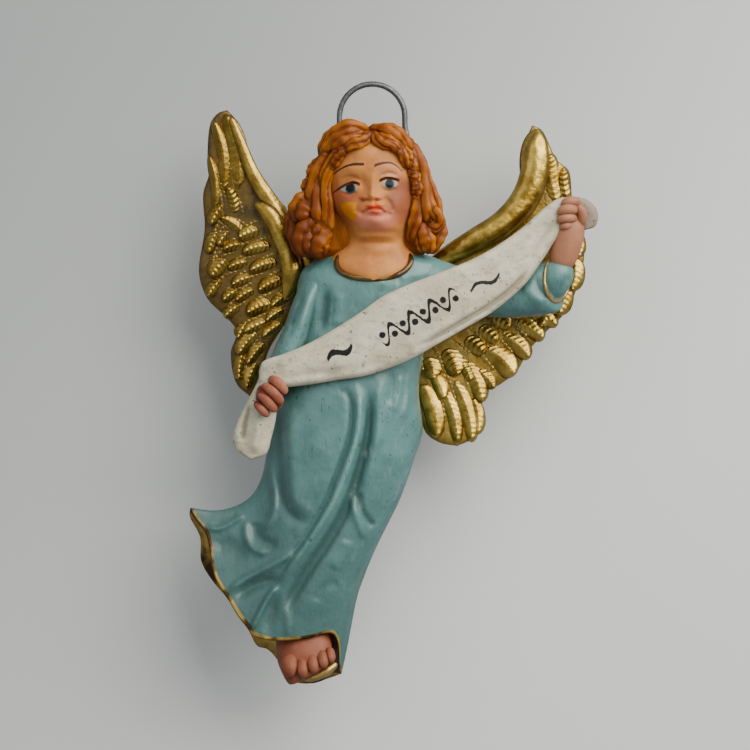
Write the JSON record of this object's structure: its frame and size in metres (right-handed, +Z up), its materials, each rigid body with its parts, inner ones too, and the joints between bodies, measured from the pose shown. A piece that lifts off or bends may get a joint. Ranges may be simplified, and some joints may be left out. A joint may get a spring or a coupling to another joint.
{
  "type": "hanging angel figurine",
  "caption": "Hanging angel figurine in painted resin: long aqua robe, gold feathered wings, orange hair, a ribbon banner held across the body, and a wire loop above the head.",
  "frame": {"origin": "the point where the wire loop bears on its nail, at the top of the loop's inside", "axes": "+Z up, the figure faces -Y, its flat back faces +Y, +X towards the figure's own left hand"},
  "size_m": [0.1151, 0.0292, 0.1703],
  "materials": {
    "robe": "semi-gloss aqua paint on cast resin",
    "skin": "semi-gloss peach paint on cast resin",
    "hair": "glossy orange paint on cast resin",
    "gold": "metallic gold paint with dark brown in the recesses, on cast resin",
    "banner": "off-white paint with grey-brown grime, on cast resin",
    "wire": "dull galvanised wire"
  },
  "bodies": {
    "root": {"robe": "robe", "head": "skin", "hair": "hair", "right_wing": "gold", "left_wing": "gold", "right_sleeve": "robe", "left_sleeve": "robe", "right_hand": "skin", "left_hand": "skin", "foot": "skin", "banner": "banner", "banner_tail": "banner", "banner_curl": "banner", "hanging_wire": "wire"}
  },
  "joints": []
}
